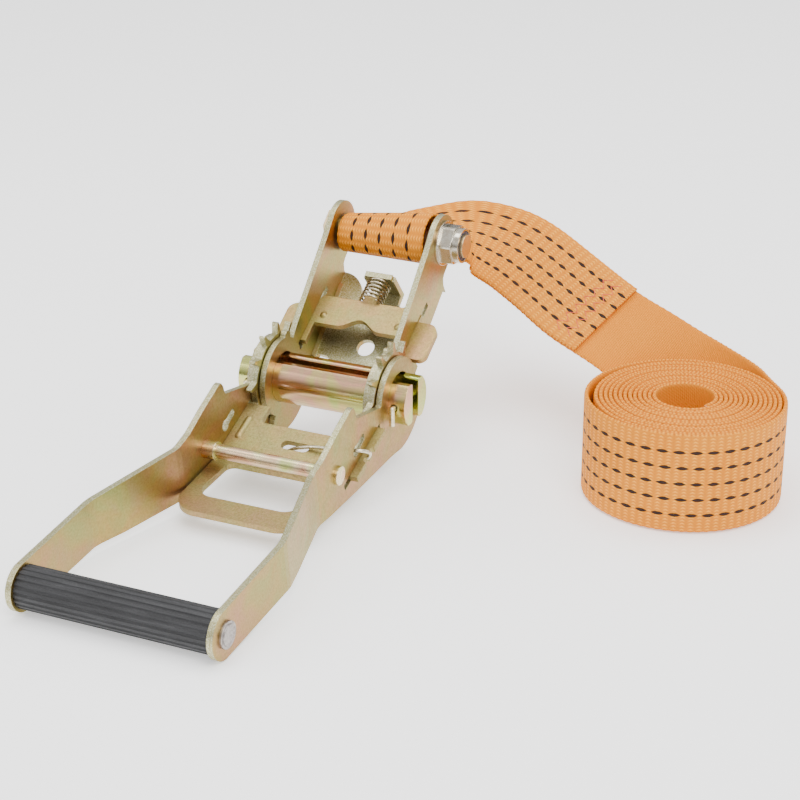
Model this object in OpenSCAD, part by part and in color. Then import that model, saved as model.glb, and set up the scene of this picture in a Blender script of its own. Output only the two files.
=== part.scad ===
/* [Pose] */
// Angle of the frame arms above the horizontal
frame_tilt = 40; // [38:1:42]
// Angle of the open handle, falling from the reel to the grip
handle_fall = 7.5; // [6:0.5:9]
/* [Frame] */
// Distance between the two frame arms
arm_gap = 54; // [53.5:0.1:54.2]
// Thickness of the stamped steel plates
plate_t = 3; // [2.9:0.05:3.05]
// Distance from the reel axis to the strap bolt
bolt_reach = 90; // [88:1:92]
// Radius of the rounded end of each arm
arm_end_r = 14.5; // [13.5:0.5:15]
// Diameter of the fixing hole in the base web
web_hole_d = 9.5; // [8:0.5:11]
/* [Reel] */
// Radius of the two half-moon bars
spindle_r = 13; // [12.98:0.01:13.02]
// Width of the webbing slot between the two bars
slot_gap = 7; // [6:0.5:8]
// Half height of each bar, measured across its flat
bar_half = 10.4; // [9.5:0.1:11]
// Number of ratchet teeth on each wheel
teeth = 12; // [12:1:12]
// Radius over the ratchet teeth
tip_r = 28; // [27.5:0.25:28]
// Radius at the root of the ratchet teeth
root_r = 22.3; // [22:0.1:22.5]
/* [Handle] */
// Distance from the reel axis to the grip axis
grip_reach = 202; // [196:1:206]
// Clear width between the handle plates at the grip
grip_gap = 96; // [92:1:98]
// Radius of the rounded end of the handle plates
handle_end_r = 11.5; // [11:0.25:12]
// Radius of the rubber grip
grip_r = 10; // [9.5:0.25:10.5]
// Number of flutes round the grip
flutes = 22; // [16:1:24]
/* [Pawls] */
// Thickness of both pawl plates
pawl_t = 3; // [2.8:0.1:3]
// Travel of the lock pawl away from the teeth
lock_travel = 6; // [5.8:0.1:6]
// Travel of the drive pawl away from the teeth
drive_travel = 6; // [5:0.5:6]
/* [Strap] */
// Width of the webbing
strap_w = 50; // [48:0.5:51]
// Thickness of the webbing
strap_t = 2.4; // [2:0.1:2.4]
// Outer radius of the rolled strap
roll_r = 45.6; // [44:0.2:45.6]
// Radius of the hole left in the middle of the roll
roll_hole_r = 12; // [10:0.5:13]

/* [Hidden] */
$fn = 64;
// place of the reel axis; the middle of the whole object stands over the origin
reel_x = 36.57;
reel_y = 84.2;
reel_z = handle_end_r + grip_reach * sin(handle_fall);
yi = arm_gap / 2;                    // inner face of a frame arm
yo = yi + plate_t;                   // outer face of a frame arm
wheel_y0 = yo + 0.4;
wheel_y1 = wheel_y0 + 3.2;
hy = wheel_y1 + 0.4;                 // inner face of a handle plate near the reel
gy = grip_gap / 2;                   // inner face of a handle plate at the grip
bore_r = spindle_r + 0.08;
lock_ang = -8;                       // direction of the lock pawl in the frame
slide_ang = 15.1;                    // fall of the drive pawl below the handle axis
slide_q = 3.9;                       // height of the drive pawl's upper face at the reel
web_top = -20.5;
web_bot = web_top - plate_t;
spindle_end = hy + plate_t + 9;
pin_y = hy + plate_t + 3.4;
loop_r = 8.1;                         // inside of the loop that hangs on the bolt

module at_reel() { translate([reel_x, reel_y, reel_z]) children(); }
module in_frame() { at_reel() rotate([0, -frame_tilt, 0]) children(); }
module in_handle() { at_reel() rotate([0, -handle_fall, 0]) children(); }
// side outline drawn in X and Z, spread from y0 to y1
module across(y0, y1) { translate([0, y1, 0]) rotate([90, 0, 0]) linear_extrude(height = y1 - y0) children(); }
module rod_y(r, y0, y1, x = 0, z = 0) { translate([x, y1, z]) rotate([90, 0, 0]) cylinder(r = r, h = y1 - y0); }
module both_sides() { children(); mirror([0, 1, 0]) children(); }

function unit(v) = v / norm(v);
function arc_pts(cx, cy, r, a0, a1, n) = [for (i = [0:n]) let (a = a0 + (a1 - a0) * i / n) [cx + r * cos(a), cy + r * sin(a)]];
// tangent of a route at point i
function tan_at(p, i) = unit(p[min(i + 1, len(p) - 1)] - p[max(i - 1, 0)]);
// frames carried along a route without twist
function carry(p, i = 0, u = [0, 0, 0], acc = []) =
    i >= len(p) ? acc :
    let (t = tan_at(p, i),
         s = i == 0 ? (abs(t[2]) < 0.9 ? cross(t, [0, 0, 1]) : cross(t, [1, 0, 0])) : u - t * (u * t),
         n = unit(s))
    carry(p, i + 1, n, concat(acc, [[n, cross(t, n)]]));
module wire(p, r, n = 8) {
    fr = carry(p);
    k = len(p);
    pts = [for (i = [0:k - 1]) for (j = [0:n - 1]) p[i] + r * (cos(j * 360 / n) * fr[i][0] + sin(j * 360 / n) * fr[i][1])];
    sides = [for (i = [0:k - 2]) for (j = [0:n - 1]) [i * n + j, i * n + (j + 1) % n, (i + 1) * n + (j + 1) % n, (i + 1) * n + j]];
    polyhedron(points = pts, faces = concat(sides, [[for (j = [n - 1:-1:0]) j]], [[for (j = [0:n - 1]) (k - 1) * n + j]]), convexity = 10);
}

// ---------------------------------------------------------------- frame
module arm_outline() {
    difference() {
        union() {
            circle(r = 20.3);
            // cam lobe below the reel
            polygon(concat([[0, 0]], arc_pts(0, 0, 29.7, -158, -52, 24)));
            // long arm, from the reel to the bolt
            polygon(concat([[0, 0], [0, web_bot], [18.2, web_bot], [74.8, web_bot], [75.6, -18.5], [77.6, -15.3], [80, -arm_end_r]],
                arc_pts(bolt_reach, 0, arm_end_r, -96, 102, 24),
                [[76, 12.3], [50, 9.6], [30, 7.9], [23, 7], [19.4, 5.9]]));
            // hook beside the notch
            translate([17, 12.2]) circle(r = 2.6);
            polygon([[10, 10], [14.8, 14.2], [18.9, 13.9], [19.6, 11.9], [17.5, 8]]);
        }
        circle(r = bore_r);
        translate([bolt_reach, 0]) circle(r = 6.1);
        // guide slot of the lock pawl
        rotate(lock_ang) translate([20.4, -pawl_t / 2 - 0.2]) square([38.2, pawl_t + 0.4]);
        rotate(lock_ang) translate([21.6, -2]) circle(r = 1.7);
    }
}
module web_plan() {
    difference() {
        union() {
            translate([20, -yi - 1]) square([42, 2 * yi + 2]);
            for (s = [-1, 1]) intersection() {
                translate([62, s * yi]) circle(r = 13.4);
                translate([61, s > 0 ? yi - 14 : -yi - 1]) square([16, 15]);
            }
            translate([60, -8.5]) square([9.5, 17]);
        }
        for (s = [-1, 1]) {
            // rounded gaps each side of the spring tab
            translate([62.6, s * 11.1]) circle(r = 2.6);
            translate([62.6, s * 11.1 - 2.6]) square([14, 5.2]);
            // openings at the reel edge
            polygon([[19, s * 14], [22.8, s * 15.8], [25.4, s * 19], [26, s * 24], [22.8, s * 25.4], [19, s * 25.8]]);
        }
        translate([33.7, 0]) circle(d = web_hole_d);
    }
}
module base_frame() {
    color("#c9b36a") in_frame() {
        difference() {
            union() {
                both_sides() across(yi, yo) arm_outline();
                translate([0, 0, web_bot]) linear_extrude(height = plate_t) web_plan();
                // tab that seats the spring
                translate([66.5, -8.5, web_top - 1]) cube([plate_t, 17, 15]);
                translate([66.5, -7.5, web_top + 13.9]) cube([plate_t, 15, 2.1]);
                // inner fillets where the arms leave the web
                both_sides() translate([24, yi, web_top]) rotate([0, 90, 0]) rotate(45) translate([-1.1, -1.1, 0]) cube([2.2, 2.2, 44]);
            }
            // rounded outer edge of the bends
            both_sides() translate([30, yo, web_bot]) difference() {
                translate([0, -4, -1]) cube([44.5, 5, 5]);
                translate([-1, -4, 4]) rotate([0, 90, 0]) cylinder(r = 4, h = 47);
            }
        }
    }
}
module strap_bolt() {
    color("#c9c6bd") in_frame() translate([bolt_reach, 0, 0]) {
        rod_y(6, -yo - 13, yo);
        rotate([90, 0, 0]) translate([0, 0, -yo - 4.2]) cylinder(r = 9.6, h = 4.2, $fn = 6);
    }
}
module lock_nut() {
    color("#bdb9ae") in_frame() translate([bolt_reach, 0, 0]) difference() {
        union() {
            rod_y(11.6, -yo - 1.4, -yo);
            rotate([90, 0, 0]) rotate(12) translate([0, 0, yo + 1.2]) intersection() {
                cylinder(r = 10.9, h = 7, $fn = 6);
                cylinder(r = 10.5, h = 7);
            }
            rod_y(8.9, -yo - 11.6, -yo - 8);
        }
        rod_y(6, -yo - 20, -yo + 1);
        rod_y(7.8, -yo - 12, -yo - 9);
    }
}
module nut_insert() {
    color("#2f3d52") in_frame() translate([bolt_reach, 0, 0]) difference() {
        rod_y(7.8, -yo - 11.2, -yo - 9);
        rod_y(6, -yo - 20, -yo + 1);
    }
}

// ---------------------------------------------------------------- lock pawl
module lock_plan() {
    difference() {
        union() {
            // plate between the arms
            polygon(concat([[52.8, -25.5], [52.8, 25.5], [51, 26.7], [35, 26.7], [35, 12]],
                [for (i = [-10:10]) [35.1 + 5.6 * pow(cos(i * 9), 2), -i * 1.15]],
                [[35, -12], [35, -26.7], [51, -26.7]]));
            // tongue that carries the spring
            translate([52, -3.8]) square([5.4, 7.6]);
            for (s = [-1, 1]) {
                // finger beside each arm, the neck in the slot and the ear outside
                translate([22.8, s > 0 ? 24.2 : -34]) square([27.6, 9.8]);
                hull() {
                    translate([25.8, s * 33]) square([6, 4], center = true);
                    translate([43.2, s * 33]) square([4.6, 4], center = true);
                    translate([26.8, s * 38]) circle(r = 4, $fn = 32);
                    translate([40, s * 36.5]) circle(r = 5.5, $fn = 32);
                }
            }
        }
        for (s = [-1, 1]) {
            // room for the arm plates outside the slot
            translate([45.6, s > 0 ? yo + 0.4 : -yo - 12.4]) square([8, 12]);
        }
    }
}
module lock_pawl() {
    color("#d0bf7e") in_frame() rotate([0, -lock_ang, 0]) {
        translate([0, 0, -pawl_t / 2]) linear_extrude(height = pawl_t) lock_plan();
        // raised pips of the pressing
        for (s = [-1, 1]) intersection() {
            translate([40.4, s * 21, pawl_t / 2 - 1.6]) sphere(r = 2.6, $fn = 32);
            translate([36, s * 21 - 4, pawl_t / 2 - 0.5]) cube([9, 8, 3]);
        }
    }
}
module lock_spring() {
    turns = 5.5;
    y_r = 5.7;
    p = [for (i = [0:turns * 14]) let (a = i * 360 / 14, t = i / (turns * 14)) [59.5 + 5.9 * t, y_r * cos(a), y_r * sin(a)]];
    color("#a8a8a4") in_frame() rotate([0, -lock_ang, 0]) wire(p, 0.5, 6);
}

// ---------------------------------------------------------------- reel
module bar_section() {
    intersection() {
        circle(r = spindle_r, $fn = 96);
        union() {
            translate([slot_gap / 2, -bar_half + 1.6]) square([spindle_r, 2 * bar_half - 3.2]);
            translate([slot_gap / 2 + 1.6, -bar_half]) square([spindle_r, 2 * bar_half]);
            for (s = [-1, 1]) translate([slot_gap / 2 + 1.6, s * (bar_half - 1.6)]) circle(r = 1.6, $fn = 32);
        }
    }
}
module pin_hole(s) { translate([-20, s * pin_y, 0]) rotate([0, 90, 0]) cylinder(r = 1.9, h = 40); }
module spindle_bar_rear() {
    color("#e0d9b8") at_reel() difference() {
        across(-spindle_end, spindle_end) bar_section();
        pin_hole(1);
        pin_hole(-1);
    }
}
module spindle_bar_front() {
    color("#e0d9b8") at_reel() difference() {
        across(-spindle_end, spindle_end) mirror([1, 0]) bar_section();
        pin_hole(1);
        pin_hole(-1);
    }
}
pitch = 360 / teeth;
tooth_face = 27.8;                   // angle of one locking face
module wheel_outline() {
    difference() {
        polygon([for (k = [0:teeth - 1]) let (a = tooth_face - k * pitch)
            each [[tip_r * cos(a), tip_r * sin(a)],
                [tip_r * cos(a - 2.6), tip_r * sin(a - 2.6)],
                [24.3 * cos(a - 6.2), 24.3 * sin(a - 6.2)],
                [root_r * cos(a - 10), root_r * sin(a - 10)],
                [root_r * cos(a - 20), root_r * sin(a - 20)],
                [root_r * cos(a - pitch + 0.4), root_r * sin(a - pitch + 0.4)]]]);
        bar_section();
        mirror([1, 0]) bar_section();
    }
}
module ratchet_wheel_left() { color("#cdb873") at_reel() across(wheel_y0, wheel_y1) wheel_outline(); }
module ratchet_wheel_right() { color("#cdb873") at_reel() across(-wheel_y1, -wheel_y0) wheel_outline(); }
module cotter(s) {
    at_reel() translate([0, s * pin_y, 0]) {
        translate([-15.2, 0, 0]) rotate([0, 90, 0]) cylinder(r = 1.4, h = 30.4);
        // legs bent down over the front bar
        translate([-15.2, 0, 0]) sphere(r = 1.4);
        translate([-15.2, 0, -8.5]) cylinder(r = 1.4, h = 8.5);
        // eye at the back
        translate([18, 0, 0]) rotate([90, 0, 0]) rotate_extrude() translate([3, 0]) circle(r = 1.3, $fn = 32);
    }
}
module cotter_pin_left() { color("#b8b8b2") cotter(1); }
module cotter_pin_right() { color("#b8b8b2") cotter(-1); }

// ---------------------------------------------------------------- handle
bend_a = 92;
bend_b = 147;
module handle_side() {
    difference() {
        // arm with the head round the reel and the release cam under it
        polygon(concat(arc_pts(0, 0, 20.5, -12, 163, 36),
            [[-21, 5.6], [-45.2, 13.4], [-46.2, 14.5], [-47, 18.5], [-48.6, 21], [-51, 21], [-66, 16.4], [-81, 10.9], [-92, 9], [-150, 10.3]],
            arc_pts(-grip_reach, 0, handle_end_r, 94, 276, 24),
            [[-176, -12.4], [-150, -13.4], [-130, -16], [-93, -18.8], [-78, -21], [-51, -23.8], [-12, -27.2]],
            arc_pts(0, 0, 29, -92, -12, 18)));
        circle(r = bore_r);
        // slot of the drive pawl
        drive_slot();
        // long hole for the spring's hook
        translate([-44.2, -0.6]) rotate(20) union() {
            translate([-5, -2]) square([8, 4]);
            translate([-5, -0.2]) circle(r = 3);
            translate([3, 0]) circle(r = 2);
        }
        translate([-69, -4.2]) circle(r = 3.5);
        translate([-grip_reach, 0]) circle(r = 5.1);
    }
}
module drive_slot() {
    // measured along the slide, behind the reel
    mirror([1, 0]) translate([0, slide_q]) rotate(-slide_ang) translate([23.6, -pawl_t - 0.25]) square([42.6, pawl_t + 0.5]);
}
module handle_plan(s) {
    polygon([[32, s * hy], [-bend_a + 2, s * hy], [-bend_a - 2, s * (hy + 0.5)], [-bend_b + 2, s * (gy - 0.5)], [-bend_b - 2, s * gy], [-230, s * gy],
        [-230, s * (gy + plate_t)], [-bend_b - 1.6, s * (gy + plate_t)], [-bend_b + 2.4, s * (gy + plate_t - 0.5)],
        [-bend_a - 1.6, s * (hy + plate_t + 0.5)], [-bend_a + 2.4, s * (hy + plate_t)], [32, s * (hy + plate_t)]]);
}
module handle_plate(s) {
    color("#c7b878") in_handle() intersection() {
        across(-60, 60) handle_side();
        translate([0, 0, -40]) linear_extrude(height = 80) handle_plan(s);
    }
}
module handle_plate_left() { handle_plate(1); }
module handle_plate_right() { handle_plate(-1); }
module grip_bar() {
    color("#9c9890") in_handle() translate([-grip_reach, 0, 0]) {
        rod_y(7, -gy, gy);
        rod_y(5.1, -gy - plate_t, gy + plate_t);
        both_sides() rod_y(6.2, gy + plate_t, gy + plate_t + 1.3);
        both_sides() rod_y(4.9, gy + plate_t, gy + plate_t + 1.9);
    }
}
module grip_sleeve() {
    color("#1c1d1f") in_handle() translate([-grip_reach, 0, 0]) across(-gy + 0.1, gy - 0.1) difference() {
        circle(r = grip_r, $fn = 96);
        circle(r = 7);
        for (i = [0:flutes - 1]) rotate(i * 360 / flutes) translate([grip_r + 0.25, 0]) circle(r = 0.85, $fn = 16);
    }
}
module cross_bar() {
    color("#ded6b4") in_handle() translate([-69, 0, -4.2]) {
        rod_y(3.5, -hy - plate_t, hy + plate_t);
        both_sides() rod_y(4.6, hy + plate_t, hy + plate_t + 1.6);
    }
}
module cross_collars() {
    color("#cfc79f") in_handle() translate([-69, 0, -4.2]) both_sides() difference() {
        rod_y(4.6, hy - 6.5, hy);
        rod_y(3.5, hy - 8, hy + 1);
    }
}

// ---------------------------------------------------------------- drive pawl
tip_s = 25.9;
// plan of the part that follows the slide, X = distance from the reel
module drive_plan_a() {
    difference() {
        union() {
            translate([37, -hy + 0.3]) square([27.2, 2 * hy - 0.6]);
            for (s = [-1, 1]) {
                // lobes that reach the teeth
                translate([tip_s, s > 0 ? 22 : -hy + 0.3]) square([13, hy - 22.3]);
                translate([35, s > 0 ? 18 : -22.5]) square([4, 4.5]);
                // ears through the handle plates
                translate([26, s > 0 ? hy - 1 : -hy - plate_t - 4]) square([33.6, plate_t + 5]);
            }
        }
        for (s = [-1, 1]) translate([34, s * 19]) circle(r = 3, $fn = 32);
        // long slot for the spring wire
        hull() for (y = [-7.3, 2.3]) translate([48, y]) circle(r = 2.7, $fn = 32);
        // small notches beside the plates
        for (s = [-1, 1], x = [41, 47.5]) translate([x, s * (hy + plate_t + 4)]) circle(r = 1.9, $fn = 32);
        // finger window runs in from the loop
        translate([63, -22]) square([5, 44]);
    }
}
module drive_plan_b() {
    difference() {
        hull() {
            translate([61.9, -hy + 0.6]) square([2, 2 * hy - 1.2]);
            for (s = [-1, 1]) translate([95.5, s * 20.5]) circle(r = 12.5, $fn = 48);
        }
        hull() {
            for (s = [-1, 1]) {
                translate([68.5, s * 20.5]) circle(r = 4.5, $fn = 32);
                translate([87, s * 18.5]) circle(r = 7.5, $fn = 32);
            }
        }
    }
}
bend_q = slide_q - 61.9 * tan(slide_ang);
module drive_pawl() {
    color("#cdb78a") in_handle() mirror([1, 0, 0]) {
        intersection() {
            translate([0, 0, slide_q]) rotate([0, slide_ang, 0]) translate([0, 0, -pawl_t]) linear_extrude(height = pawl_t) drive_plan_a();
            translate([0, -60, -60]) cube([62, 120, 120]);
        }
        translate([0, 0, bend_q - pawl_t]) linear_extrude(height = pawl_t) drive_plan_b();
        // pressed ribs
        translate([0, 0, slide_q]) rotate([0, slide_ang, 0]) for (s = [-1, 1]) intersection() {
            hull() for (x = [36, 48]) translate([x, s * 28.6, -1.2]) sphere(r = 2.4, $fn = 24);
            translate([30, s * 28.6 - 5, -0.6]) cube([24, 10, 4]);
        }
    }
}
// wire spring, from the right handle plate through the slot of the pawl
module drive_spring() {
    d = [cos(slide_ang), -sin(slide_ang)];
    p = [for (q = [[47, -41.6, 0.6], [46, -40.8, 3.2], [47, -39.6, 5.4], [48.5, -37.8, 6.4], [48.8, -35.5, 6.5], [48.8, -33, 6.2], [48.3, -29, 5], [48, -20, 3.2], [48, -10.8, 1.9], [48, -4, -1], [48, 5, -4.9], [48, 9, -5.6]])
        [q[0] * d[0] + q[2] * sin(slide_ang), q[1], slide_q + q[0] * d[1] + q[2] * cos(slide_ang)]];
    color("#a9a492") in_handle() mirror([1, 0, 0]) wire(p, 0.95, 8);
}

// ---------------------------------------------------------------- strap
module strap_loop() {
    color("#f79a2e") at_reel() translate([bolt_reach * cos(frame_tilt), 1, bolt_reach * sin(frame_tilt) - 2]) difference() {
        rod_y(loop_r + strap_t, -strap_w / 2, strap_w / 2);
        rod_y(loop_r, -strap_w / 2 - 1, strap_w / 2 + 1);
    }
}
roll_x = reel_x + 34.2;
roll_y = reel_y - 173;
module strap_coil() {
    color("#f79a2e") translate([roll_x, roll_y, 0]) difference() {
        cylinder(r = roll_r, h = strap_w, $fn = 128);
        translate([0, 0, -1]) cylinder(r = roll_hole_r, h = strap_w + 2);
    }
}
// stations of the free stretch: middle of the ribbon, then the direction of its width
lead = [
    [[80.5, 1, 53.5], [0, 1, 0]],
    [[87, 0.4, 51], [0.05, 1, 0.03]],
    [[94.5, -8, 48.5], [0.5, 0.85, 0.12]],
    [[106.5, -18, 48.5], [0.82, 0.5, 0.25]],
    [[114.5, -29.5, 47], [0.92, -0.02, 0.38]],
    [[116, -40.5, 44.5], [0.86, -0.13, 0.48]],
    [[114, -52.5, 41.5], [0.83, -0.22, 0.51]],
    [[109.5, -66.5, 36.5], [0.8, -0.31, 0.51]],
    [[104, -81, 30.5], [0.8, -0.32, 0.51]],
    [[97.5, -95.5, 25], [0.79, -0.33, 0.52]],
    [[92.5, -111, 19.5], [0.83, -0.28, 0.48]],
    [[89.5, -133, 10], [0.78, -0.3, 0.55]],
    [[90, -150.5, -1], [0.56, -0.35, 0.75]],
    [[90.5, -169.5, -9], [0.24, -0.3, 0.92]],
    [[84.5, -189, -12], [0.03, -0.15, 0.99]]];
wrap_r = roll_r + 0.3 + strap_t / 2;
wrap = [for (i = [0:20]) let (a = -43 - i * 15.6)
    [[34.2 + wrap_r * cos(a), -173 + wrap_r * sin(a), strap_w / 2 + 0.1 - reel_z], [0, 0, 1]]];
function blend(a, b, c, d, t) = 0.5 * (2 * b + (c - a) * t + (2 * a - 5 * b + 4 * c - d) * t * t + (3 * b - a - 3 * c + d) * t * t * t);
function route(q, m) = [for (i = [0:len(q) - 2], k = [0:m - 1])
    blend(q[max(i - 1, 0)], q[i], q[i + 1], q[min(i + 2, len(q) - 1)], k / m)];
module strap_lead() {
    m = 4;
    q = route(concat(lead, wrap), m);
    n = len(q);
    splice = 10 * m;                     // the sewn tail ends here
    c = [for (e = q) e[0] + [reel_x, reel_y, reel_z]];
    ts = [for (i = [0:n - 1]) tan_at(c, i)];
    w = [for (i = [0:n - 1]) unit(q[i][1] - ts[i] * (q[i][1] * ts[i]))];
    f = [for (i = [0:n - 1]) cross(ts[i], w[i])];
    // rings; the ring at the splice is drawn twice to step down to one layer
    rings = [for (i = [0:n - 1]) each (i == splice ? [[i, 1, 0], [i, 0, 0.4]] : [[i, i < splice ? 1 : 0, 0]])];
    pts = [for (g = rings) let (o = c[g[0]] + ts[g[0]] * g[2], hi = strap_t / 2 + strap_t * g[1], a = w[g[0]] * strap_w / 2, b = f[g[0]])
        each [o + a + b * hi, o - a + b * hi, o - a - b * strap_t / 2, o + a - b * strap_t / 2]];
    k = len(rings);
    sides = [for (i = [0:k - 2], j = [0:3]) each [[i * 4 + j, i * 4 + (j + 1) % 4, (i + 1) * 4 + (j + 1) % 4],
        [i * 4 + j, (i + 1) * 4 + (j + 1) % 4, (i + 1) * 4 + j]]];
    color("#f79a2e") polyhedron(points = pts, faces = concat(sides, [[3, 2, 1], [3, 1, 0]],
        [[(k - 1) * 4, (k - 1) * 4 + 1, (k - 1) * 4 + 2], [(k - 1) * 4, (k - 1) * 4 + 2, (k - 1) * 4 + 3]]), convexity = 8);
}

base_frame();
strap_bolt();
lock_nut();
nut_insert();
lock_pawl();
lock_spring();
spindle_bar_front();
spindle_bar_rear();
ratchet_wheel_left();
ratchet_wheel_right();
cotter_pin_left();
cotter_pin_right();
handle_plate_left();
handle_plate_right();
grip_bar();
grip_sleeve();
cross_bar();
cross_collars();
drive_pawl();
drive_spring();
strap_loop();
strap_lead();
strap_coil();
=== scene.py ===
import bpy, math
import numpy as np
from mathutils import Matrix, Vector


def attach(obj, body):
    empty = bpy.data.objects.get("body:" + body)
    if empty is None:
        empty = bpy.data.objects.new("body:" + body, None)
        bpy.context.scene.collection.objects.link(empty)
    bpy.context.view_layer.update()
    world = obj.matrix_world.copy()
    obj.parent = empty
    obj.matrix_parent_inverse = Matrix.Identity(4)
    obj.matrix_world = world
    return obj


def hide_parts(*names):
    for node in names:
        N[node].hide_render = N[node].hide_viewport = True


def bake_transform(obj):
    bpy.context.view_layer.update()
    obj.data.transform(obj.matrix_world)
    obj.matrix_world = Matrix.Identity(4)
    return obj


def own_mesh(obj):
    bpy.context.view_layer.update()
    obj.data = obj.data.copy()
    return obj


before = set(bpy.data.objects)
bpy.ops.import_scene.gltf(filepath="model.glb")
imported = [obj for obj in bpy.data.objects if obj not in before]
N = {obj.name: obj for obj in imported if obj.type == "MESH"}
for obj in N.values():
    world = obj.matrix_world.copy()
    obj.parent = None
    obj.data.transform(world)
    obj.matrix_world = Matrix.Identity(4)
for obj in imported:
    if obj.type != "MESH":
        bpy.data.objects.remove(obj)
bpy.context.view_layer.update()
MM = 0.001

# the reel's axis and the two tilted frames of the object, in millimetres
REEL = np.array([36.57, 84.2, 11.5 + 202 * math.sin(math.radians(7.5))])
FT, HF = math.radians(40), math.radians(7.5)


def tilt(p, a, base=REEL):
    p = np.atleast_2d(np.asarray(p, float))
    x, y, z = p[:, 0], p[:, 1], p[:, 2]
    return np.stack([x * math.cos(a) - z * math.sin(a), y, x * math.sin(a) + z * math.cos(a)], -1) + base


def in_frame(p):
    return tilt(p, FT)


def in_handle(p):
    return tilt(p, HF)


# ------------------------------------------------------------------ mesh helpers
def make_mesh(name, verts_mm, faces, mats=(), smooth=True, attrs=None, fmat=None):
    me = bpy.data.meshes.new(name)
    me.from_pydata((np.asarray(verts_mm) * MM).tolist(), [], [list(map(int, f)) for f in faces])
    me.validate()
    me.update()
    ob = bpy.data.objects.new(name, me)
    bpy.context.scene.collection.objects.link(ob)
    for m in mats:
        me.materials.append(m)
    if smooth:
        me.polygons.foreach_set("use_smooth", [True] * len(me.polygons))
    if fmat is not None:
        me.polygons.foreach_set("material_index", list(map(int, fmat)))
    for k, v in (attrs or {}).items():
        a = me.attributes.new(k, "FLOAT_VECTOR", "POINT")
        a.data.foreach_set("vector", np.asarray(v, np.float32).ravel())
    return ob


def spline(P, n_per=8, closed=False):
    """Centripetal-like cubic through the points, sampled evenly enough."""
    P = np.asarray(P, float)
    d = np.linalg.norm(np.diff(P[:, :3], axis=0), axis=1)
    t = np.concatenate([[0], np.cumsum(np.maximum(d, 1e-6))])
    M = natural(t, P)
    tt = np.linspace(0, t[-1], int(n_per * (len(P) - 1)) + 1)
    return evaluate(t, P, M, tt)


def natural(t, P):
    n = len(t)
    h = np.diff(t)
    A = np.zeros((n, n))
    R = np.zeros((n, P.shape[1]))
    A[0, 0] = A[-1, -1] = 1
    for i in range(1, n - 1):
        A[i, i - 1], A[i, i], A[i, i + 1] = h[i - 1], 2 * (h[i - 1] + h[i]), h[i]
        R[i] = 6 * ((P[i + 1] - P[i]) / h[i] - (P[i] - P[i - 1]) / h[i - 1])
    return np.linalg.solve(A, R)


def evaluate(t, P, M, tt):
    k = np.clip(np.searchsorted(t, tt, side="right") - 1, 0, len(t) - 2)
    h = (t[k + 1] - t[k])[:, None]
    a = (t[k + 1] - tt)[:, None]
    b = (tt - t[k])[:, None]
    return (M[k] * a ** 3 + M[k + 1] * b ** 3) / (6 * h) + (P[k] / h - M[k] * h / 6) * a + (P[k + 1] / h - M[k + 1] * h / 6) * b


def tube(name, pts, r, mat, n=12, dome=True):
    """Round wire along pts, in mm, with rounded ends."""
    P = np.asarray(pts, float)
    T = np.gradient(P, axis=0)
    T /= np.linalg.norm(T, axis=1)[:, None]
    u = np.cross(T[0], [0, 0, 1] if abs(T[0][2]) < 0.9 else [1, 0, 0])
    U = []
    for k in range(len(P)):
        u = u - T[k] * (u @ T[k])
        u /= np.linalg.norm(u)
        U.append(u)
    U = np.array(U)
    V = np.cross(T, U)
    rr = np.full(len(P), r)
    if dome:
        steps = [(-1.0, 0.12), (-0.92, 0.42), (-0.7, 0.72), (-0.38, 0.93)]
        head = [(P[0] + T[0] * r * a, U[0], V[0], r * b) for a, b in steps]
        tail = [(P[-1] - T[-1] * r * a, U[-1], V[-1], r * b) for a, b in steps[::-1]]
    else:
        head = tail = []
    rings = head + [(P[k], U[k], V[k], rr[k]) for k in range(len(P))] + tail
    a = np.arange(n) * 2 * math.pi / n
    vs = np.concatenate([c + q * (np.cos(a)[:, None] * x + np.sin(a)[:, None] * y) for c, x, y, q in rings])
    fs = [[i * n + j, i * n + (j + 1) % n, (i + 1) * n + (j + 1) % n, (i + 1) * n + j] for i in range(len(rings) - 1) for j in range(n)]
    fs += [[j for j in range(n)][::-1], [(len(rings) - 1) * n + j for j in range(n)]]
    return make_mesh(name, vs, fs, [mat])


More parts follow.
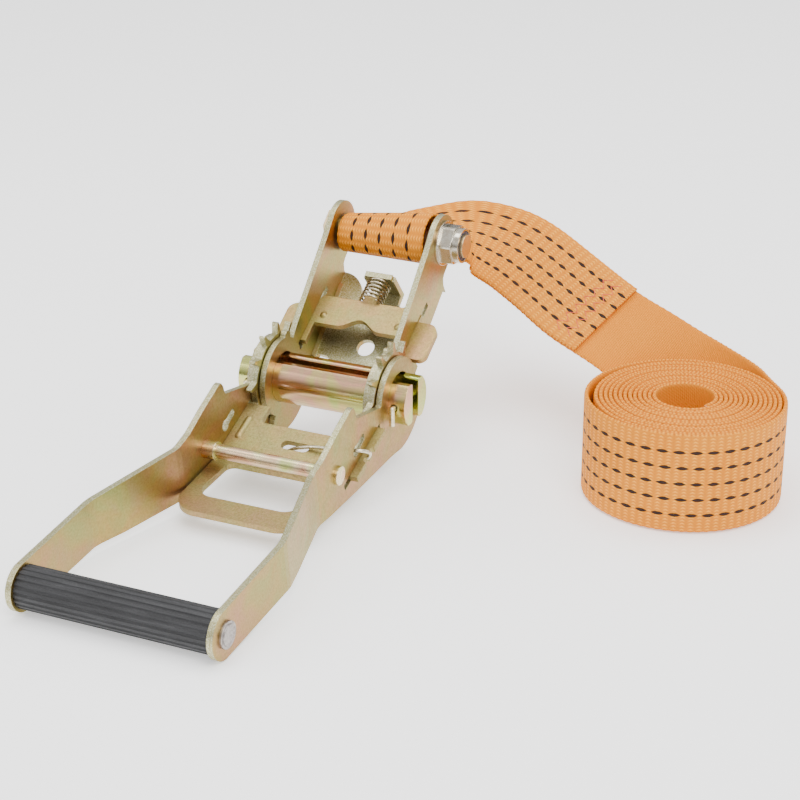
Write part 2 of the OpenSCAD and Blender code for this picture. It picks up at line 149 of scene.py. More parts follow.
# ------------------------------------------------------------------ material helpers
class Mat:
    def __init__(self, name):
        self.m = bpy.data.materials.new(name)
        self.m.use_nodes = True
        self.nt = self.m.node_tree
        self.b = self.nt.nodes["Principled BSDF"]

    def new(self, kind, **kw):
        n = self.nt.nodes.new("ShaderNode" + kind)
        for k, v in kw.items():
            setattr(n, k, v)
        return n

    def link(self, a, b):
        self.nt.links.new(a, b)

    def feed(self, sock, v):
        if isinstance(v, bpy.types.NodeSocket):
            self.link(v, sock)
        elif v is not None:
            if hasattr(sock.default_value, "__len__"):
                v = tuple(v)
                sock.default_value = v + (1,) * (len(sock.default_value) - len(v)) if len(sock.default_value) > len(v) else v
            else:
                sock.default_value = v

    def math(self, op, a, b=None, c=None, clamp=False):
        n = self.new("Math", operation=op, use_clamp=clamp)
        for i, v in enumerate((a, b, c)):
            if v is not None:
                self.feed(n.inputs[i], v)
        return n.outputs[0]

    def vec(self, op, a, b=None):
        n = self.new("VectorMath", operation=op)
        self.feed(n.inputs[0], a)
        if b is not None:
            self.feed(n.inputs[1], b)
        return n.outputs[0]

    def obj(self):
        return self.new("TexCoord").outputs["Object"]

    def scaled(self, v, s):
        n = self.new("Mapping")
        self.link(v, n.inputs["Vector"])
        n.inputs["Scale"].default_value = s if hasattr(s, "__len__") else (s, s, s)
        return n.outputs[0]

    def noise(self, v, scale, detail=2.0, rough=0.5, dist=0.0, color=False):
        n = self.new("TexNoise")
        self.link(v, n.inputs["Vector"])
        n.inputs["Scale"].default_value = scale
        n.inputs["Detail"].default_value = detail
        n.inputs["Roughness"].default_value = rough
        n.inputs["Distortion"].default_value = dist
        return n.outputs["Color" if color else "Fac"]

    def ramp(self, fac, stops, interp="LINEAR"):
        n = self.new("ValToRGB")
        n.color_ramp.interpolation = interp
        el = n.color_ramp.elements
        while len(el) < len(stops):
            el.new(0.5)
        for e, (p, c) in zip(el, stops):
            e.position = p
            e.color = tuple(c) + (1,) if len(c) == 3 else c
        self.feed(n.inputs[0], fac)
        return n.outputs[0]

    def mix(self, fac, a, b, mode="MIX"):
        n = self.new("Mix", data_type="RGBA", blend_type=mode)
        n.inputs[0].default_value = 1.0
        self.feed(n.inputs[0], fac)
        self.feed(n.inputs[6], a)
        self.feed(n.inputs[7], b)
        return n.outputs[2]

    def lerp(self, fac, a, b):
        n = self.new("Mix", data_type="FLOAT")
        self.feed(n.inputs[0], fac)
        self.feed(n.inputs[2], a)
        self.feed(n.inputs[3], b)
        return n.outputs[0]

    def range(self, v, a, b, c=0.0, d=1.0, smooth=False):
        n = self.new("MapRange", interpolation_type="SMOOTHSTEP" if smooth else "LINEAR")
        self.feed(n.inputs["Value"], v)
        for k, x in (("From Min", a), ("From Max", b), ("To Min", c), ("To Max", d)):
            self.feed(n.inputs[k], x)
        return n.outputs[0]

    def set(self, name, v):
        self.feed(self.b.inputs[name], v)

    def bump(self, height, strength=0.3, distance=0.0002, normal=None):
        n = self.new("Bump")
        n.inputs["Strength"].default_value = strength
        n.inputs["Distance"].default_value = distance
        self.link(height, n.inputs["Height"])
        if normal is not None:
            self.link(normal, n.inputs["Normal"])
        return n.outputs[0]

    def bevel(self, radius):
        n = self.new("Bevel", samples=6)
        n.inputs["Radius"].default_value = radius
        return n.outputs[0]


def lin(r, g, b):
    f = lambda c: (c / 255 / 12.92) if c / 255 <= 0.04045 else ((c / 255 + 0.055) / 1.055) ** 2.4
    return (f(r), f(g), f(b))


def zinc(name, thick_axis=(0, 1, 0), edge=True, mottle=0.0, rough=0.34, tint=0.5, seed=0.0, bright=1.0):
    """Yellow chromate over zinc: patches of gold, rose and green, a fine grain, and sheared edges."""
    m = Mat(name)
    co = m.obj()
    sh = m.vec("ADD", co, (seed, seed * 0.7, seed * 1.3))
    big = m.noise(sh, 19, 3.0, 0.55, 0.6)
    big2 = m.noise(m.vec("ADD", sh, (3.1, 1.7, 5.2)), 34, 3.0, 0.6, 1.0)
    k = bright * 0.74
    sc = lambda c: tuple(min(1.0, x * k) for x in c)
    gold, rose, green, grey = sc(lin(200, 170, 98)), sc(lin(206, 152, 116)), sc(lin(176, 182, 108)), sc(lin(176, 168, 140))
    col = m.ramp(big, [(0.30, green), (0.43, gold), (0.55, rose), (0.66, gold), (0.78, grey)])
    col2 = m.ramp(big2, [(0.34, rose), (0.47, gold), (0.58, green), (0.72, gold)])
    col = m.mix(tint, col, col2)
    fine = m.noise(co, 900, 3.0, 0.65)
    grain = m.noise(co, 2600, 2.0, 0.5)
    col = m.mix(m.range(fine, 0.35, 0.7, 0.0, 0.3 + mottle * 0.4), col, sc(lin(120, 98, 52)), "MIX")
    r = m.math("ADD", m.range(fine, 0.3, 0.7, rough - 0.05, rough + 0.07 + mottle * 0.12), m.range(big2, 0.3, 0.7, -0.03, 0.05))
    h = m.math("ADD", m.math("MULTIPLY", grain, 0.5), m.math("MULTIPLY", fine, 0.7))
    if mottle:
        spots = m.new("TexVoronoi", feature="F1")
        m.link(m.vec("ADD", co, m.vec("SCALE", m.noise(co, 700, 2.0, color=True), None)), spots.inputs["Vector"])
        spots.inputs["Scale"].default_value = 780
        cell = m.new("SeparateColor")
        m.link(spots.outputs["Color"], cell.inputs[0])
        col = m.mix(m.range(cell.outputs[0], 0.2, 0.9, 0.0, 0.55 * mottle), col, sc(lin(196, 214, 140)))
        col = m.mix(m.range(cell.outputs[1], 0.62, 0.98, 0.0, 0.6 * mottle), col, sc(lin(214, 160, 140)))
        h = m.math("ADD", h, m.math("MULTIPLY", cell.outputs[2], 0.5 * mottle))
    if edge:
        g = m.new("NewGeometry").outputs["Normal"]
        d = m.new("VectorMath", operation="DOT_PRODUCT")
        m.link(g, d.inputs[0])
        d.inputs[1].default_value = thick_axis
        e = m.range(m.math("ABSOLUTE", d.outputs["Value"]), 0.75, 0.5, 0.0, 1.0)
        streak = m.noise(m.scaled(co, (1, 1, 1)), 1500, 3.0, 0.7)
        ecol = m.ramp(streak, [(0.3, sc(lin(150, 142, 92))), (0.5, sc(lin(206, 204, 160))), (0.68, sc(lin(250, 248, 222)))])
        col = m.mix(m.math("MULTIPLY", e, 0.85), col, ecol)
        r = m.lerp(e, r, m.range(streak, 0.3, 0.7, 0.5, 0.34))
        h = m.math("ADD", h, m.math("MULTIPLY", m.math("MULTIPLY", streak, e), 2.4))
    m.set("Base Color", col)
    m.b.inputs["Metallic"].default_value = 1.0
    m.set("Roughness", r)
    m.link(m.bump(h, 0.28, 0.00012, m.bevel(0.0004)), m.b.inputs["Normal"])
    return m.m


def bright_bar(name, axis_scale=(1, 0.06, 1), gold=lin(216, 196, 128), rough=0.11):
    """Turned or drawn bar, bright plated: fine lines along it and soft tints."""
    m = Mat(name)
    co = m.obj()
    lines = m.noise(m.scaled(co, axis_scale), 900, 4.0, 0.7)
    tint = m.noise(co, 42, 2.0, 0.5, 0.8)
    col = m.ramp(tint, [(0.3, lin(190, 206, 116)), (0.46, gold), (0.58, lin(222, 172, 142)), (0.7, lin(212, 194, 140))])
    col = m.mix(m.range(lines, 0.45, 0.8, 0.0, 0.35), col, lin(110, 88, 58))
    m.set("Base Color", col)
    m.b.inputs["Metallic"].default_value = 1.0
    m.set("Roughness", m.range(lines, 0.3, 0.7, rough, rough + 0.14))
    m.link(m.bump(lines, 0.12, 0.0001, m.bevel(0.0005)), m.b.inputs["Normal"])
    return m.m


def plain_metal(name, a, b, rough=0.28, scale=300, metal=1.0, bev=0.0004, strength=0.15):
    m = Mat(name)
    co = m.obj()
    n1 = m.noise(co, scale, 4.0, 0.6)
    n2 = m.noise(co, 60, 2.0, 0.5)
    m.set("Base Color", m.mix(m.range(n2, 0.35, 0.65), m.mix(m.range(n1, 0.3, 0.75), a, b), a))
    m.b.inputs["Metallic"].default_value = metal
    m.set("Roughness", m.range(n1, 0.3, 0.7, rough - 0.05, rough + 0.12))
    m.link(m.bump(n1, strength, 0.0001, m.bevel(bev)), m.b.inputs["Normal"])
    return m.m


def rubber_mat():
    m = Mat("grip_rubber")
    co = m.obj()
    n1 = m.noise(m.scaled(co, (1, 0.12, 1)), 420, 4.0, 0.6)
    n2 = m.noise(co, 1600, 3.0, 0.6)
    n3 = m.noise(m.scaled(co, (1, 0.3, 1)), 55, 2.0, 0.6)
    col = m.ramp(n1, [(0.3, (0.012, 0.012, 0.013)), (0.6, (0.024, 0.024, 0.026)), (0.8, (0.05, 0.05, 0.053))])
    col = m.mix(m.range(n3, 0.56, 0.72, 0.0, 0.3), col, (0.075, 0.076, 0.08))
    m.set("Base Color", col)
    m.set("Roughness", m.range(n2, 0.3, 0.7, 0.46, 0.66))
    m.b.inputs["Specular IOR Level"].default_value = 0.45
    h = m.math("ADD", m.math("MULTIPLY", n2, 0.6), m.math("MULTIPLY", n1, 1.0))
    m.link(m.bump(h, 0.25, 0.00015, m.bevel(0.0003)), m.b.inputs["Normal"])
    return m.m


PITCH, DASH, WID = 7.8, 6.2, 1.9


def webbing_mat():
    """Woven webbing: ribs across, zigzag ends along, five broken black lines on the outer face."""
    m = Mat("webbing_orange")
    at = m.new("Attribute", attribute_name="st", attribute_type="GEOMETRY")
    sx = m.new("SeparateXYZ")
    m.link(at.outputs["Vector"], sx.inputs[0])
    s, t, side = sx.outputs
    outer = m.range(side, 0.45, 0.55)
    co = m.obj()
    wob = m.noise(co, 900, 2.0, 0.5)
    # rib across the width, half a dash long
    rib_p = PITCH / 2
    u = m.math("DIVIDE", s, rib_p)
    rib = m.math("MULTIPLY_ADD", m.math("COSINE", m.math("MULTIPLY", u, 2 * math.pi)), 0.5, 0.5)
    # warp ends, 1.6 mm apart, each a pair of slanting floats
    v = m.math("DIVIDE", t, 1.6)
    vf = m.math("ABSOLUTE", m.math("SUBTRACT", m.math("FRACT", v), 0.5))
    uf = m.math("FRACT", u)
    slant = m.math("FRACT", m.math("ADD", v, m.math("MULTIPLY", m.math("PINGPONG", u, 0.5), 1.2)))
    chev = m.math("ABSOLUTE", m.math("SUBTRACT", slant, 0.5))
    thread = m.range(chev, 0.08, 0.42, 1.0, 0.0, True)
    # plain face: fine cross ribs, 1 mm apart, and herringbone
    fine = m.math("MULTIPLY_ADD", m.math("COSINE", m.math("MULTIPLY", s, 2 * math.pi / 1.05)), 0.5, 0.5)
    fz = m.math("FRACT", m.math("ADD", m.math("DIVIDE", t, 1.6), m.math("DIVIDE", s, 2.1)))
    hb = m.range(m.math("ABSOLUTE", m.math("SUBTRACT", fz, 0.5)), 0.1, 0.4, 1.0, 0.0, True)
    big = m.noise(m.scaled(co, (1, 1, 1)), 38, 2.0, 0.5)
    # colours
    base = (0.66, 0.20, 0.0)
    light = (0.98, 0.42, 0.035)
    deep = (0.48, 0.085, 0.0)
    # outer face: painted highlight on the rib crowns and thread floats, painted shade in the gaps between warp ends
    c_out = m.mix(m.math("MULTIPLY", m.math("MULTIPLY", rib, thread), 0.85), base, light)
    c_out = m.mix(m.math("MULTIPLY", m.range(vf, 0.36, 0.5), 0.35), c_out, deep)
    # plain face: painted highlight on the fine rib crowns, painted shade in the valleys between ribs
    c_in = m.mix(m.math("MULTIPLY", m.math("MULTIPLY", fine, hb), 0.35), (0.72, 0.225, 0.0), (0.86, 0.32, 0.01))
    c_in = m.mix(m.math("MULTIPLY", m.range(fine, 0.35, 0.0), 0.4), c_in, (0.5, 0.10, 0.0))
    # the two faces joined, then large random patches a little paler
    col = m.mix(outer, c_in, c_out)
    col = m.mix(m.range(big, 0.3, 0.7, 0.0, 0.25), col, m.mix(0.5, col, light))
    # broken lines
    tm = m.math("ADD", t, 25.0 - 9.0)                  # first line 9 mm from the edge
    row = m.math("ROUND", m.math("DIVIDE", tm, 8.0))
    inside = m.math("MULTIPLY", m.math("GREATER_THAN", row, -0.5), m.math("LESS_THAN", row, 4.5))
    dt = m.math("SUBTRACT", tm, m.math("MULTIPLY", row, 8.0))
    step = m.ramp(m.math("MULTIPLY_ADD", row, 0.2, 0.1), [(0.0, (0.0,) * 3), (0.2, (0.34,) * 3), (0.4, (0.2,) * 3), (0.6, (0.32,) * 3), (0.8, (0.1,) * 3)], "CONSTANT")
    shift = m.math("MULTIPLY", step, PITCH)
    ds = m.math("SUBTRACT", m.math("FRACT", m.math("DIVIDE", m.math("ADD", s, shift), PITCH)), 0.5)
    ds = m.math("MULTIPLY", ds, PITCH)
    half = m.math("MULTIPLY", m.math("SUBTRACT", 1.0, m.math("POWER", m.math("MULTIPLY", m.math("ABSOLUTE", ds), 2 / DASH), 2.0)), WID / 2)
    edge = m.math("SUBTRACT", half, m.math("ABSOLUTE", dt))
    dash = m.range(m.math("ADD", edge, m.math("MULTIPLY", m.math("SUBTRACT", wob, 0.5), 0.25)), -0.04, 0.08)
    dash = m.math("MULTIPLY", m.math("MULTIPLY", dash, inside), outer, clamp=True)
    col = m.mix(dash, col, m.mix(wob, lin(20, 14, 12), lin(58, 36, 26)))
    # selvedge stitches along the narrow edge: painted highlight on each loop's crown, painted shade between the loops
    sel = m.range(m.math("ABSOLUTE", t), 24.3, 24.8)
    mark = m.math("FRACT", m.math("DIVIDE", s, 1.95))
    selc = m.ramp(mark, [(0.0, deep), (0.22, base), (0.55, light), (0.82, base), (1.0, deep)])
    col = m.mix(m.math("MULTIPLY", sel, 0.8), col, selc)
    m.set("Base Color", col)
    m.b.inputs["Roughness"].default_value = 0.66
    m.b.inputs["Specular IOR Level"].default_value = 0.18
    m.b.inputs["Sheen Weight"].default_value = 0.02
    m.b.inputs["Sheen Roughness"].default_value = 0.4
    m.b.inputs["Sheen Tint"].default_value = lin(255, 190, 120) + (1,)
    h_out = m.math("ADD", m.math("MULTIPLY", m.math("MULTIPLY", thread, m.math("MULTIPLY_ADD", rib, 0.7, 0.3)), 1.0), m.math("MULTIPLY", rib, 0.5))
    h_in = m.math("ADD", m.math("MULTIPLY", fine, 0.8), m.math("MULTIPLY", hb, 0.4))
    h = m.lerp(outer, h_in, h_out)
    h = m.math("ADD", h, m.math("MULTIPLY", sel, m.math("MULTIPLY", m.math("PINGPONG", mark, 0.5), 2.2)))
    h = m.math("ADD", h, m.math("MULTIPLY", wob, 0.25))
    m.link(m.bump(h, 0.55, 0.00035), m.b.inputs["Normal"])
    return m.m


def thread_mat():
    m = Mat("stitch_thread")
    co = m.obj()
    n1 = m.noise(co, 2500, 2.0, 0.5)
    m.set("Base Color", m.mix(n1, lin(206, 60, 34), lin(232, 112, 78)))
    m.b.inputs["Roughness"].default_value = 0.6
    m.link(m.bump(n1, 0.3, 0.0001), m.b.inputs["Normal"])
    return m.m


def yarn_mat():
    m = Mat("frayed_yarn")
    n1 = m.noise(m.obj(), 1800, 2.0, 0.5)
    m.set("Base Color", m.mix(n1, lin(255, 208, 160), lin(255, 240, 222)))
    m.b.inputs["Roughness"].default_value = 0.7
    m.link(m.bump(n1, 0.3, 0.0001), m.b.inputs["Normal"])
    return m.m


M_ARM = zinc("zinc_frame", (0, 1, 0), True, 0.0, 0.36, 0.5, 0.0)
M_HANDLE = zinc("zinc_handle", (0, 1, 0), True, 0.0, 0.38, 0.4, 0.9, 0.97)
M_WHEEL = zinc("zinc_wheel", (0, 1, 0), True, 0.15, 0.30, 0.5, 1.7)
M_PAWL = zinc("zinc_pawl", (0, 0, 1), False, 0.45, 0.40, 0.6, 2.4)
M_DPAWL = zinc("zinc_drive_pawl", (0, 0, 1), False, 0.85, 0.42, 0.6, 3.3)
M_BAR = bright_bar("bright_bar")
M_ROD = bright_bar("bright_rod", (1, 0.05, 1), lin(232, 214, 172), 0.2)
M_NUT = plain_metal("nut_zinc", lin(206, 200, 186), lin(140, 128, 108), 0.18)
M_BOLT = plain_metal("bolt_zinc", lin(214, 192, 150), lin(150, 120, 84), 0.3, 900)
M_STEEL = plain_metal("rivet_steel", lin(178, 172, 168), lin(116, 108, 104), 0.38, 700, 1.0, 0.0006, 0.4)
M_WIRE = plain_metal("spring_wire", lin(222, 214, 190), lin(150, 138, 108), 0.24, 600, 1.0, 0.0001)
M_COTTER = plain_metal("cotter_wire", lin(226, 216, 186), lin(176, 160, 120), 0.26, 500)
M_NYLON = plain_metal("nylon_ring", lin(44, 56, 78), lin(30, 38, 54), 0.42, 800, 0.0, 0.0002, 0.2)
M_RUBBER = rubber_mat()
M_WEB = webbing_mat()
M_THREAD = thread_mat()
M_FRAY = yarn_mat()

for n, m in {"base_frame": M_ARM, "strap_bolt": M_BOLT, "lock_nut": M_NUT, "nut_insert": M_NYLON,
             "lock_pawl": M_PAWL, "spindle_bar_front": M_BAR, "spindle_bar_rear": M_BAR, "ratchet_wheel_left": M_WHEEL,
             "ratchet_wheel_right": M_WHEEL, "cotter_pin_left": M_COTTER, "cotter_pin_right": M_COTTER,
             "handle_plate_left": M_HANDLE, "handle_plate_right": M_HANDLE, "grip_bar": M_STEEL, "grip_sleeve": M_RUBBER,
             "cross_bar": M_ROD, "cross_collars": M_ROD, "drive_pawl": M_DPAWL}.items():
    N[n].data.materials.clear()
    N[n].data.materials.append(m)

# ------------------------------------------------------------------ webbing
# stations of the free stretch, from the bolt to the roll: middle, then the direction of the width
LEAD = np.array([
    [94.5, -8, 48.5, 0.5, 0.85, 0.12],
    [106.5, -18, 48.5, 0.82, 0.5, 0.25],
    [114.5, -29.5, 47, 0.92, -0.02, 0.38],
    [116, -40.5, 44.5, 0.86, -0.13, 0.48],
    [114, -52.5, 41.5, 0.83, -0.22, 0.51],
    [109.5, -66.5, 36.5, 0.8, -0.31, 0.51],
    [104, -81, 30.5, 0.8, -0.32, 0.51],
    [97.5, -95.5, 25, 0.79, -0.33, 0.52],
    [92.5, -111, 19.5, 0.83, -0.28, 0.48],
    [89.5, -133, 10, 0.78, -0.3, 0.55],
    [90, -150.5, -1, 0.56, -0.35, 0.75],
    [90.5, -169.5, -9, 0.24, -0.3, 0.92],
    [84.5, -189, -12, 0.03, -0.15, 0.99]], float)
ROLL = np.array([34.2, -173.0])
BOLT = np.array([90 * math.cos(FT), 0, 90 * math.sin(FT)])
THK = 2.15                      # thickness of the webbing
WEB_W = 50.0
OUT_R = 47.2


def web_path():
    """Stations (point, width direction) of the whole strap, from the sewn tail's end to the strap's inner end in the roll."""
    L = LEAD.copy()
    L[:, 3:] /= np.linalg.norm(L[:, 3:], axis=1)[:, None]
    # end of the lead joins the outer turn of the roll
    a = np.radians(-43 - np.arange(0, 60, 12))
    joins = np.stack([ROLL[0] + OUT_R * np.cos(a), ROLL[1] + OUT_R * np.sin(a), np.full(len(a), 25.42 - REEL[2]), a * 0, a * 0, a * 0 + 1], -1)
    main = np.concatenate([L, joins])
    T = np.gradient(main[:, :3], axis=0)
    T /= np.linalg.norm(T, axis=1)[:, None]
    n = np.cross(T, main[:, 3:])
    n /= np.linalg.norm(n, axis=1)[:, None]
    # tail: on the upper side of the first nine stations, walked backwards, and parted from them near the bolt
    k = 9
    part = np.array([6.0, 2.7] + [THK + 0.12] * (k - 2))[:, None]
    tail = np.concatenate([main[:k, :3] + n[:k] * part, main[:k, 3:]], -1)[::-1]
    # round the bolt: slacker at the right edge than at the left
    ring = []
    for deg in (66, 100, 140, 180, 220, 255, 282):
        c, s_ = math.cos(math.radians(deg)), math.sin(math.radians(deg))
        lp = np.array([BOLT[0] + 9.0 * c, 25.7, BOLT[2] - 1.9 + 9.0 * s_])
        rp = np.array([BOLT[0] + 0.5 + 12.3 * c, -23.8, BOLT[2] + 1.3 + 12.3 * s_])
        w = (lp - rp) / np.linalg.norm(lp - rp)
        ring.append(list((lp + rp) / 2) + list(w))
    ring = np.array(ring)
    return tail, ring, main


def resample(st, ds):
    d = np.linalg.norm(np.diff(st[:, :3], axis=0), axis=1)
    t = np.concatenate([[0], np.cumsum(d)])
    M = natural(t, st)
    tt = np.linspace(0, t[-1], int(t[-1] / 0.25) + 2)
    q = evaluate(t, st, M, tt)
    s = np.concatenate([[0], np.cumsum(np.linalg.norm(np.diff(q[:, :3], axis=0), axis=1))])
    n = int(round(s[-1] / ds))
    ss = np.linspace(0, s[-1], n + 1)
    return np.stack([np.interp(ss, s, q[:, i]) for i in range(6)], -1)


def coil_path():
    """Inward spiral, clockwise from above, after the outer turn has left the lead."""
    pts = []
    a0 = math.radians(-43)
    pitch = THK + 0.18
    total = 14.22
    steps = int(total * 150)
    for i in range(steps + 1):
        turns = total * i / steps
        a = a0 - 2 * math.pi * turns
        r = OUT_R - pitch * turns
        # the outer turn stands off at the far left and lies down again
        ang = math.degrees(a) % 360
        if turns < 1.0:
            lift = 1.9 * math.exp(-((turns - 0.58) / 0.13) ** 2)
            r += lift
        else:
            r -= 0.25
        w = 0.35 * math.sin(3 * a + 0.7) + 0.3 * math.sin(2 * a + 2.0)
        r += w * min(1.0, turns) * (0.5 + 0.5 * math.sin(turns * 0.9))*0.5
        z = 25.42 - REEL[2] + 0.22 * math.sin(turns * 2.3 + 1) * min(1, turns)
        pts.append([ROLL[0] + r * math.cos(a), ROLL[1] + r * math.sin(a), z, 0, 0, 1])
    return np.array(pts)


def build_webbing(ds=0.95):
    tail, ring, main = web_path()
    coil = coil_path()
    st = np.concatenate([tail, ring, main[:-4]])
    P1 = resample(st, ds)
    # spiral joined on where the lead meets the roll
    s = np.concatenate([[0], np.cumsum(np.linalg.norm(np.diff(coil[:, :3], axis=0), axis=1))])
    ss = np.arange(ds, s[-1], ds)
    P2 = np.stack([np.interp(ss, s, coil[:, i]) for i in range(6)], -1)
    P = np.concatenate([P1, P2])
    # soften the join
    for _ in range(30):
        j = len(P1)
        seg = slice(j - 14, j + 14)
        P[j - 13:j + 13, :3] = (P[j - 14:j + 12, :3] + P[j - 12:j + 14, :3]) / 2
        P[j - 13:j + 13, 3:] = (P[j - 14:j + 12, 3:] + P[j - 12:j + 14, 3:]) / 2
    C = P[:, :3]
    T = np.gradient(C, axis=0)
    T /= np.linalg.norm(T, axis=1)[:, None]
    W = P[:, 3:] - T * (P[:, 3:] * T).sum(1)[:, None]
    W /= np.linalg.norm(W, axis=1)[:, None]
    D = np.cross(W, T)                       # outer face, with the broken lines
    s = np.concatenate([[0], np.cumsum(np.linalg.norm(np.diff(C, axis=0), axis=1))])
    n = len(C)
    # cross-section: t, half thickness
    tcol = np.array([-25, -24.75, -24.2, -23, -20.5, -17, -13, -9, -4.5, 0, 4.5, 9, 13, 17, 20.5, 23, 24.2, 24.75, 25], float)
    hcol = np.array([0.0, 0.55, 0.86, 0.98, 1, 1, 1, 1, 1, 1, 1, 1, 1, 1, 1, 0.98, 0.86, 0.55, 0.0]) * THK / 2
    m = len(tcol)
    ph = 2 * math.pi * s / (PITCH / 2)
    scal = 0.13 * np.cos(ph)                 # scalloped selvedge
    rib = 0.07 * np.cos(ph)
    rings, st_at = [], []
    order = [(j, 1) for j in range(m)] + [(j, -1) for j in range(m - 2, 0, -1)]
    k = len(order)
    V = np.zeros((n, k, 3))
    A = np.zeros((n, k, 3))
    for q, (j, sg) in enumerate(order):
        inner = 1.0 if 1 < j < m - 2 else 0.3
        edge = max(0.0, (abs(tcol[j]) - 22) / 3)
        t = tcol[j] + np.sign(tcol[j]) * scal * edge
        h = sg * (hcol[j] + (rib * inner * (1.0 if sg > 0 else 0.3) if hcol[j] > 0 else 0))
        V[:, q] = C + W * t[:, None] + D * h[:, None] if hasattr(h, "__len__") else C + W * t[:, None] + D * h
        A[:, q] = np.stack([s, np.full(n, tcol[j]) if not hasattr(t, "__len__") else t, np.full(n, 1.0 if sg > 0 and 0 < j < m - 1 else (0.5 if j in (0, m - 1) else 0.0))], -1)
    V = V.reshape(-1, 3) + REEL
    A = A.reshape(-1, 3)
    F = []
    for i in range(n - 1):
        a, b = i * k, (i + 1) * k
        for q in range(k):
            r = (q + 1) % k
            F.append((a + q, a + r, b + r, b + q))
    F.append(tuple(range(k))[::-1])
    F.append(tuple((n - 1) * k + q for q in range(k)))
    ob = make_mesh("webbing", V, F, [M_WEB], True, {"st": A})
    return ob, C + REEL, T, W, D, s, len(P1)


web, WC, WT, WW, WD, WS, WJ = build_webbing()
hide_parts("strap_loop", "strap_lead", "strap_coil")
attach(web, "frame")

# ------------------------------------------------------------------ sewn end of the tail
def on_tail(s_mm, t_mm, lift):
    i = np.interp(s_mm, WS, np.arange(len(WS)))
    f = lambda X: np.array([np.interp(i, np.arange(len(X)), X[:, c]) for c in range(3)])
    return f(WC) + f(WW) * t_mm + f(WD) * (THK / 2 + lift)


def stitches():
    runs = []
    for s0, amp, step in ((9.0, 2.2, 3.3), (15.5, 2.2, 3.3)):
        pts = []
        k = int(40 / step)
        for i in range(k + 1):
            t = -20 + i * 40 / k
            sgn = 1 if i % 2 else -1
            pts.append(on_tail(s0 + sgn * amp, t, 0.12))
        fine = []
        for a, b in zip(pts[:-1], pts[1:]):
            for u in np.linspace(0, 1, 6, endpoint=False):
                q = a + (b - a) * u
                fine.append(q)
        fine.append(pts[-1])
        runs.append(fine)
    obs = [tube("tail_stitch_%d" % i, r, 0.2, M_THREAD, 6) for i, r in enumerate(runs)]
    return obs


for o in stitches():
    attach(o, "frame")

# ------------------------------------------------------------------ lock spring
A32 = math.radians(32)
ax = np.array([math.cos(A32), 0, math.sin(A32)])
up = np.array([-math.sin(A32), 0, math.cos(A32)])
side = np.array([0, 1.0, 0])


def lock_spring():
    pts = []
    turns, x0, x1 = 6.6, 53.1, 65.9
    n = int(turns * 40)
    for i in range(n + 1):
        t = i / n
        a = 2 * math.pi * turns * t + 2.4
        # closed end coils
        u = t - 0.035 * math.sin(2 * math.pi * t) * 1.0
        u = 0.5 - 0.5 * math.cos(math.pi * t) if False else t
        dead = 0.09
        if t < dead:
            u = 0.03 * t / dead
        elif t > 1 - dead:
            u = 1 - 0.03 * (1 - t) / dead
        else:
            u = 0.03 + 0.94 * (t - dead) / (1 - 2 * dead)
        r = 5.75
        pts.append(REEL + ax * (x0 + (x1 - x0) * u) + side * r * math.cos(a) + up * r * math.sin(a))
    return tube("lock_spring_coil", pts, 0.55, M_WIRE, 10)


sp = lock_spring()
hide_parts("lock_spring")
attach(sp, "frame")
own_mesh(sp)

# ------------------------------------------------------------------ drive pawl spring
SA = math.radians(15.1)


def on_slide(x, y, q):
    """x along the drive pawl's slide away from the reel, q above its upper face."""
    X = x * math.cos(SA) + q * math.sin(SA)
    Z = 3.9 - x * math.sin(SA) + q * math.cos(SA)
    return [-X, y, Z]


def drive_spring():
    pts = [on_slide(*q) for q in [
        (45.2, -39.9, -1.4), (44.8, -41.3, 0.8), (45.4, -41.7, 3.0), (46.9, -40.3, 5.2), (48.4, -37.8, 6.4), (48.8, -35.5, 6.5),
        (48.8, -33, 6.2), (48.3, -28, 4.8), (47.9, -20, 3.0), (47.9, -12, 1.9), (48.1, -6, 0.2), (48.3, -1, -2.0), (48.4, 2.6, -4.2), (48.2, 6.5, -5.0), (47.8, 10, -4.6)]]
    return tube("drive_spring_wire", in_handle(spline(pts, 8)), 0.95, M_WIRE, 12)


ds_ = drive_spring()
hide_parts("drive_spring")
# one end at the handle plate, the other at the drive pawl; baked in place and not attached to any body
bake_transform(ds_)


def frayed_end():
    """Loose yarns at the strap's inner end, in the middle of the roll."""
    rng = np.random.RandomState(5)
    e, t, w, d = WC[-1], WT[-1], WW[-1], WD[-1]
    vs, fs = [], []
    for j in range(46):
        y = 24.3 - 48.6 * (j + rng.rand()) / 46
        n, r, L = 5, 0.13 + 0.07 * rng.rand(), 0.9 + 2.0 * rng.rand()
        p0 = e + w * y + d * (rng.rand() - 0.5) * (THK - 0.7) - t * 0.6
        bend = (rng.rand(2) - 0.5) * np.array([1.5, 1.6])
        if j < 6:
            bend[0] += 0.5 + 0.5 * rng.rand()
        b0 = len(vs)
        for k in range(6):
            u = k / 5
            c = p0 + t * (L * u + 0.6) + w * bend[0] * u * u - d * bend[1] * u * u
            for q in range(n):
                a = 2 * math.pi * q / n
                vs.append(c + (w * math.cos(a) + d * math.sin(a)) * r * (1 - 0.5 * u))
        for k in range(5):
            for q in range(n):
                fs.append((b0 + k * n + q, b0 + k * n + (q + 1) % n, b0 + (k + 1) * n + (q + 1) % n, b0 + (k + 1) * n + q))
        fs.append(tuple(b0 + q for q in range(n))[::-1])
        fs.append(tuple(b0 + 5 * n + q for q in range(n)))
    return make_mesh("frayed_yarns", vs, fs, [M_FRAY])


fr = frayed_end()
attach(fr, "frame")

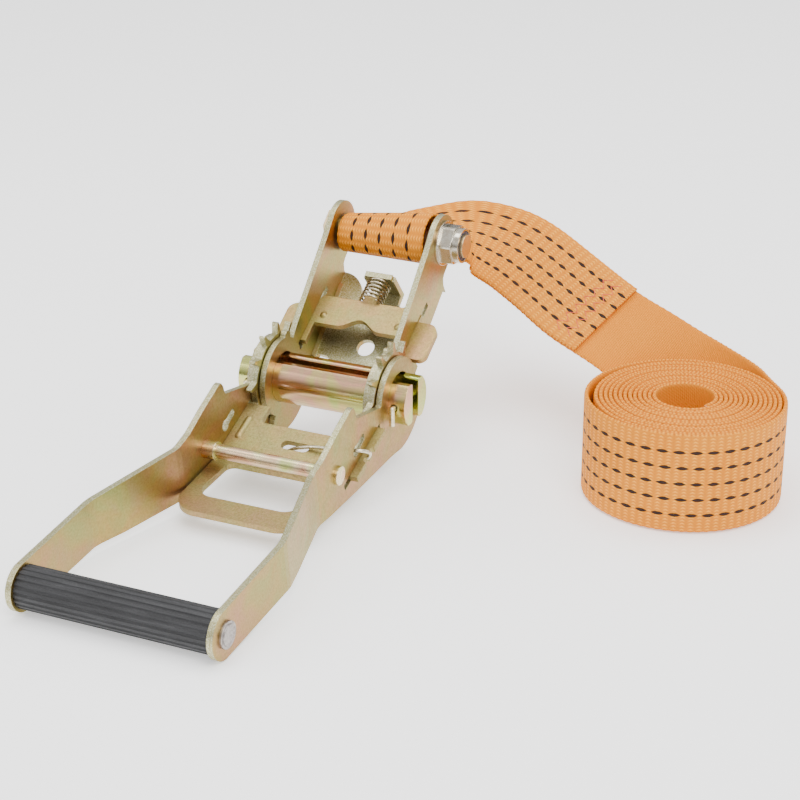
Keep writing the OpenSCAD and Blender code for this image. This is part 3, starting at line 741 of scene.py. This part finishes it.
# ------------------------------------------------------------------ stage, lights, camera
def stage():
    me = bpy.data.meshes.new("floor")
    R = 6.0
    me.from_pydata([(-R, -R, -0.0004), (R, -R, -0.0004), (R, R, -0.0004), (-R, R, -0.0004)], [], [(0, 1, 2, 3)])
    ob = bpy.data.objects.new("floor", me)
    bpy.context.scene.collection.objects.link(ob)
    m = Mat("floor_pale")
    n = m.noise(m.obj(), 2.0, 2.0, 0.5)
    m.set("Base Color", m.mix(n, (0.93, 0.93, 0.93), (0.95, 0.95, 0.95)))
    m.b.inputs["Emission Color"].default_value = (1, 1, 1, 1)
    m.b.inputs["Emission Strength"].default_value = 0.6
    m.b.inputs["Roughness"].default_value = 0.7
    me.materials.append(m.m)
    w = bpy.data.worlds.new("studio")
    bpy.context.scene.world = w
    w.use_nodes = True
    nt = w.node_tree
    bg = nt.nodes["Background"]
    tc = nt.nodes.new("ShaderNodeTexCoord")
    sep = nt.nodes.new("ShaderNodeSeparateXYZ")
    nt.links.new(tc.outputs["Generated"], sep.inputs[0])
    rp = nt.nodes.new("ShaderNodeValToRGB")
    rp.color_ramp.elements[0].position = 0.52
    rp.color_ramp.elements[0].color = (0.10, 0.10, 0.10, 1)
    rp.color_ramp.elements[1].position = 0.72
    rp.color_ramp.elements[1].color = (1.0, 1.0, 1.0, 1)
    mp = nt.nodes.new("ShaderNodeMath")
    mp.operation = "MULTIPLY_ADD"
    mp.inputs[1].default_value = 0.5
    mp.inputs[2].default_value = 0.5
    nt.links.new(sep.outputs[2], mp.inputs[0])
    nt.links.new(mp.outputs[0], rp.inputs[0])
    nt.links.new(rp.outputs[0], bg.inputs[0])
    bg.inputs[1].default_value = 1.15


def area(name, loc, target, size, power, color=(1, 1, 1)):
    l = bpy.data.lights.new(name, "AREA")
    l.shape = "RECTANGLE"
    l.size, l.size_y = size
    l.energy = power
    l.color = color
    o = bpy.data.objects.new(name, l)
    bpy.context.scene.collection.objects.link(o)
    d = Vector(target) - Vector(loc)
    o.location = loc
    o.rotation_euler = d.to_track_quat("-Z", "Y").to_euler()


stage()
area("key", (-0.9, -0.9, 1.5), (0, 0, 0.04), (0.9, 0.9), 24)
area("top", (0.15, 0.2, 1.7), (0, 0, 0.04), (1.4, 1.0), 24)
area("left", (-0.9, 1.3, 0.8), (0, 0, 0.04), (0.8, 0.9), 8)
area("right", (1.0, -1.3, 0.9), (0, 0, 0.04), (0.8, 0.8), 7)

cam = bpy.data.cameras.new("camera")
cam.sensor_width = 36
cam.lens = 2061.7 / 800 * 36
cam.clip_end = 50
co = bpy.data.objects.new("camera", cam)
bpy.context.scene.collection.objects.link(co)
right = Vector((0.42042, -0.90733, 0.0))
upv = Vector((0.35862, 0.16617, 0.91857))
fwd = Vector((0.83345, 0.38619, -0.39525))
R = Matrix((right, upv, -fwd)).transposed()
co.matrix_world = Matrix.Translation((-0.81045, -0.34589, 0.43832)) @ R.to_4x4()
bpy.context.scene.camera = co
